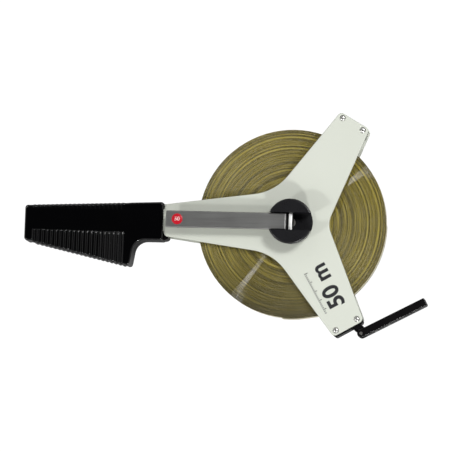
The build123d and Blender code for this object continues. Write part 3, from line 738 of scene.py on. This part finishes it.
rivets = makeRivets()
handleScrews = makeScrews("handleScrewSet", screwPlaces, 0.8, 2.4, 14.0, **handleScrewSizes)
capLow, capHigh = spanOf("rear_cap_screws", "z")
capPlaces = [heading(90 + 120 * i, fastenerSizes["capScrewCircle"]) for i in range(3)]
capScrews = makeScrews("capScrewSet", capPlaces, capLow, capLow + 1.3, capHigh, **capScrewSizes)
for piece, node, slot in ((rivets, "frame_rivets", "polished_steel"),
                          (handleScrews, "handle_screws", "screw_steel"),
                          (capScrews, "rear_cap_screws", "screw_steel")):
    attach(piece, "frame")
    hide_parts(node)
print("fasteners set")


# crank knob and badge
knobSizes = {"offset": 113.5, "radius": 7.8, "bore": 2.6, "badgeRadius": 5.5, "badgeCrown": 0.8,
             "flutes": 18, "fluteDepth": 0.055, "number": 5.6, "film": 0.10, "sunk": 0.04}


def makeKnob():
    s = knobSizes
    r = s["radius"]
    low, high = spanOf("crank_knob", "z")
    profile = [(0, low + 1.7), (4.85, low + 1.7), (4.95, low), (r - 1.4, low), (r - 0.5, low + 0.4, "rim"),
               (r, low + 1.4, "rim"), (r, high - 1.4, "rim"), (r - 0.5, high - 0.4, "rim"),
               (r - 1.4, high), (s["bore"], high), (s["bore"], high - 5.4), (0, high - 5.4)]
    mesh = lathe("gripKnob", profile, 108)
    mesh.transform(Matrix.Translation((-s["offset"] * mm, 0, 0)))
    knob = addPiece("gripKnob", mesh, fitting)
    sharpenEdges(mesh, 60)
    return knob


def textPiece(name, body, size, place, angle, thickness, material, weight=0.012):
    words = bpy.data.curves.new(name, "FONT")
    words.body, words.size, words.extrude = body, size * mm, thickness * mm / 2
    words.align_x, words.align_y = "CENTER", "CENTER"
    words.offset = size * mm * weight
    source = bpy.data.objects.new(name + "Curve", words)
    bpy.context.scene.collection.objects.link(source)
    mesh = plainMesh(source)
    bpy.data.objects.remove(source)
    mesh.transform(Matrix.Translation(Vector(place) * mm) @ Matrix.Rotation(math.radians(angle), 4, "Z"))
    return addPiece(name, mesh, material)


knob = makeKnob()
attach(knob, "knob")
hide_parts("crank_knob")

k = knobSizes
number = textPiece("badgeNumber", "50", k["number"], (-k["offset"], 0, 0), 0, k["film"], paleInk)
ball = (k["badgeRadius"] ** 2 + k["badgeCrown"] ** 2) / (2 * k["badgeCrown"]) * mm
badgeTop = spanOf("crank_badge", "z")[1]
for v in number.data.vertices:
    away = math.hypot(v.co.x + k["offset"] * mm, v.co.y)
    v.co.z += (badgeTop - k["sunk"]) * mm - ball + math.sqrt(ball ** 2 - away ** 2)
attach(number, "crank")
print("crank dressed")


# printed mark on the lower arm
markSizes = {"arm": -60.0, "letters": 23.0, "middle": 73.0, "side": 2.5, "film": 0.05,
             "weight": 0.028, "scaleStart": 52.0, "scaleSide": -13.5}
scaleSizes = {"Ticks": 23, "Step": 2.0 * mm, "Tick width": 0.75 * mm, "Short": 2.0 * mm,
              "Long": 3.8 * mm, "Film": 0.05 * mm}


def scaleTicks(sizes):
    # graduations along X, every fifth one long
    r = Recipe("scaleTicks", sizes)
    offset = r.node("ShaderNodeCombineXYZ", {}, {0: r.size("Step")})
    line = r.node("GeometryNodeMeshLine", {}, {"Count": r.size("Ticks"), "Offset": offset})
    points = r.node("GeometryNodeMeshToPoints", {}, {0: line})
    index = r.node("GeometryNodeInputIndex")
    long = (index / 5).math("FRACT") < 0.1
    length = r.size("Short") + (r.size("Long") - r.size("Short")) * long
    centre = r.node("ShaderNodeCombineXYZ", {}, {1: length * 0.5})
    points = r.node("GeometryNodeSetPosition", {}, {"Geometry": points, "Offset": centre})
    bar = r.node("GeometryNodeMeshCube", {}, {"Size": (1, 1, 1)})
    size = r.node("ShaderNodeCombineXYZ", {}, {0: r.size("Tick width"), 1: length, 2: r.size("Film")})
    marks = r.node("GeometryNodeInstanceOnPoints", {}, {"Points": points, "Instance": bar, "Scale": size})
    r.end(marks, blackInk)
    return r.made("armScale")


m = markSizes
printLevel = frontFace + m["film"] / 2
spot = heading(m["arm"], m["middle"], m["side"])
armMark = textPiece("armMark", "50 m", m["letters"], (*spot, printLevel), m["arm"] + 180, m["film"],
                    blackInk, m["weight"])
armScale = scaleTicks(scaleSizes)
start = heading(m["arm"], m["scaleStart"], m["scaleSide"])
armScale.data.transform(Matrix.Translation(Vector((*start, printLevel)) * mm)
                        @ Matrix.Rotation(math.radians(m["arm"]), 4, "Z"))
for piece in (armMark, armScale):
    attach(piece, "frame")
print("arm marked")


# camera, floor and lights
viewSizes = {"tilt": 9.08, "towards": -40.31, "roll": 1.30, "target": (-67.18, -3.44, 15.0),
             "distance": 3991.0, "lens": 317.1}
studio = {
    "glow": 1.2, "glowShare": 0.85, "floorTone": 0.25,
    "sky": [(0.02, 0.10), (0.20, 0.12), (0.52, 0.85), (0.88, 0.0)],
    "lamps": {
        "keySoftbox": {"place": (1.15, 1.00, 2.05), "size": 0.7, "power": 37.0},
        "lowSoftbox": {"place": (0.7, -1.8, 1.5), "size": 0.3, "power": 24.0},
        "leftSoftbox": {"place": (-1.6, -1.0, 1.5), "size": 0.24, "power": 14.0},
    },
}


def placeCamera():
    s = viewSizes
    a, t = math.radians(s["towards"]), math.radians(s["tilt"])
    out = Vector((math.sin(t) * math.cos(a), math.sin(t) * math.sin(a), math.cos(t)))
    level = (Vector((1, 0, 0)) - out * out.x).normalized()
    right = Matrix.Rotation(math.radians(s["roll"]), 3, out) @ level
    up = out.cross(right)
    data = bpy.data.cameras.new("studioCamera")
    data.lens, data.sensor_width = s["lens"], 36.0
    data.clip_start, data.clip_end = 0.1, 30.0
    camera = bpy.data.objects.new("studioCamera", data)
    bpy.context.scene.collection.objects.link(camera)
    turn = Matrix((right, up, out)).transposed().to_4x4()
    camera.matrix_world = Matrix.Translation((Vector(s["target"]) + out * s["distance"]) * mm) @ turn
    bpy.context.scene.camera = camera


def addSoftbox(name, place, size, power):
    data = bpy.data.lights.new(name, "AREA")
    data.shape, data.size, data.energy = "DISK", size, power
    lamp = bpy.data.objects.new(name, data)
    lamp.location = place
    aim = Vector((-0.06, 0, 0)) - Vector(place)
    lamp.rotation_euler = aim.to_track_quat("-Z", "Y").to_euler()
    bpy.context.scene.collection.objects.link(lamp)


def addFloor():
    work = bmesh.new()
    bmesh.ops.create_grid(work, x_segments=8, y_segments=8, size=6.0)
    mesh = bpy.data.meshes.new("floor")
    work.to_mesh(mesh)
    work.free()
    f = Finish("floorPaper", {"Specular IOR Level": 0.1})
    tone = studio["floorTone"]
    fleck = f.grain(40.0, 3.0)
    f.feed(colour=f.tint(fleck, (tone - 0.01,) * 3, (tone + 0.01,) * 3), roughness=0.8 + fleck * 0.1)
    lit = f.node("ShaderNodeEmission", {}, {"Color": (1, 1, 1, 1), "Strength": studio["glow"]})
    seen = f.node("ShaderNodeLightPath", out="Is Camera Ray") * studio["glowShare"]
    mixed = f.node("ShaderNodeMixShader", {}, {0: seen, 1: Wire(f, f.shader.outputs[0]), 2: lit})
    f.tree.links.new(mixed.socket, f.tree.nodes["Material Output"].inputs["Surface"])
    floor = addPiece("floor", mesh, f.material)
    mesh.transform(Matrix.Translation((0, 0, -0.0003)))


def lightWorld():
    # a pale belt halfway up, dark overhead
    world = bpy.data.worlds.new("studioWorld")
    world.use_nodes = True
    bpy.context.scene.world = world
    t = Tree(world.node_tree)
    ray = t.node("ShaderNodeTexCoord", out="Generated")
    height = t.node("ShaderNodeSeparateXYZ", {}, {0: ray}, out="Z")
    sky = t.node("ShaderNodeValToRGB", {"stops": studio["sky"]}, {"Fac": height})
    background = world.node_tree.nodes["Background"]
    world.node_tree.links.new(sky.socket, background.inputs["Color"])


placeCamera()
addFloor()
lightWorld()
for name, lamp in studio["lamps"].items():
    addSoftbox(name, **lamp)
bpy.context.scene.view_settings.view_transform = "Standard"
print("studio set")
